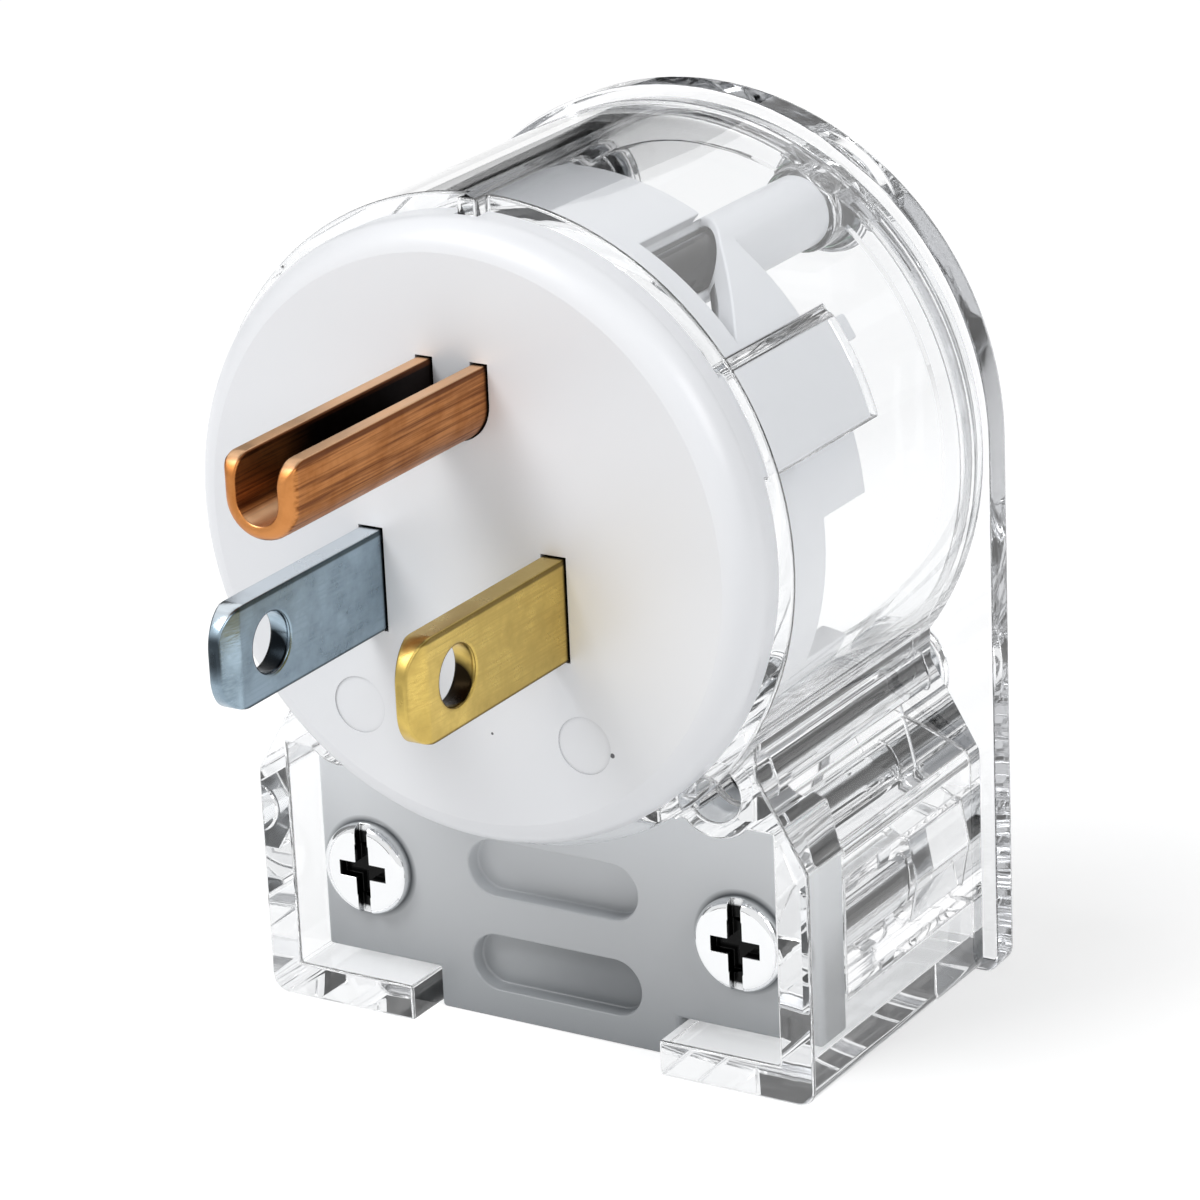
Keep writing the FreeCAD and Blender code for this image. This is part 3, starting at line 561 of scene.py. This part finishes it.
brass = contact_metal(
    "rolled_brass", "hot_blade", plain=(0.68, 0.50, 0.14), dull=(0.50, 0.36, 0.10),
    line=(0.56, 0.40, 0.11), painted_top_light=(0.62, 0.47, 0.16), painted_edge_dark=(0.14, 0.09, 0.02),
    painted_dark=(0.012, 0.008, 0.004), low_roughness=0.22, high_roughness=0.40, nose_reflection_paint=0.25)
nickel = contact_metal(
    "nickel_plate", "neutral_blade", plain=(0.36, 0.46, 0.54), dull=(0.22, 0.29, 0.35),
    line=(0.31, 0.40, 0.47), painted_top_light=(0.80, 0.86, 0.91), painted_edge_dark=(0.03, 0.045, 0.05),
    painted_dark=(0.006, 0.008, 0.010), low_roughness=0.14, high_roughness=0.32, nose_reflection_paint=0.85)
bronze = contact_metal(
    "copper_bronze", "ground_pin", plain=(0.56, 0.235, 0.075), dull=(0.43, 0.165, 0.045),
    line=(0.20, 0.065, 0.018), painted_top_light=(0.90, 0.58, 0.34), painted_edge_dark=(0.12, 0.035, 0.010),
    painted_dark=(0.010, 0.004, 0.003), low_roughness=0.32, high_roughness=0.50)
softened("hot_blade", brass, edge_round=0.00014)
softened("neutral_blade", nickel, edge_round=0.00014)
softened("ground_pin", bronze, edge_round=0.00016)

# Screws, nuts and pressure plates
# Bright nickel-plated steel, with brass at the hot terminal and a green plated
# screw at the ground terminal. Painted shade darkens hollows, and a screw's recess with its depth in the
# head.
recess_outer, recess_inner = 0.00265, 0.00250
recess_start, recess_full = 0.00018, 0.00034


def plated(name, colour, painted_dark, low_roughness, high_roughness, screw=None, facing=0):
    """Plating with painted shade in hollows and in the recess of a screw's head, which faces front (-1) or
    back (1).
    """
    material, tree, _, shader = skinned_shader(
        name, moulded_skin, Low_Roughness=low_roughness, High_Roughness=high_roughness,
        Wave_Depth=0.00001, Metallic=1.0)
    # Painted shade in the plating's hollows.
    finish = blended(tree, painted_hollow_shade(tree, reach=0.0012), colour, painted_dark)
    if screw:
        low, high = (Vector(corner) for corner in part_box(screw))
        head_top = high.y if facing > 0 else low.y
        # Painted shade in the head's recess, deeper below its top.
        below_top = along(tree, "Y", head_top - facing * recess_start, head_top - facing * recess_full)
        inside = around(tree, (low + high) / 2, recess_outer, recess_inner, axes=(1, 0, 1))
        finish = blended(tree, product(tree, inside, below_top), finish, painted_dark)
    set_up(tree, shader, Base_Color=finish)
    return material


bright_look = (0.80, 0.81, 0.82), (0.012, 0.012, 0.012), 0.08, 0.18
plated_steel = plated("bright_plate", *bright_look)
green_plate = plated("green_plate", (0.16, 0.40, 0.22), (0.02, 0.04, 0.02), 0.20, 0.30)

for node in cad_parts:
    if node.startswith(("clamp_nut", "wire_clamp")):
        finish_node(node, plated_steel)
    if node.startswith("assembly_screw"):
        finish_node(node, plated(node + "_plate", *bright_look, screw=node, facing=1))
    if node.startswith("clamp_screw"):
        screw_plate = plated(node + "_plate", *bright_look, screw=node, facing=-1)
        softened(node, screw_plate, edge_round=0.00006)
for node in ("terminal_screw_neutral", "terminal_nut_neutral", "terminal_nut_ground"):
    finish_node(node, plated_steel)
for node in ("terminal_screw_hot", "terminal_nut_hot"):
    finish_node(node, brass)
finish_node("terminal_screw_ground", green_plate)

# Light is thrown back and forth in the clear walls many times before it comes out.
light_bounces = 22
bpy.context.scene.cycles.max_bounces = light_bounces
bpy.context.scene.cycles.transmission_bounces = light_bounces
bpy.context.scene.cycles.glossy_bounces = light_bounces
bpy.context.scene.view_settings.view_transform = "Standard"
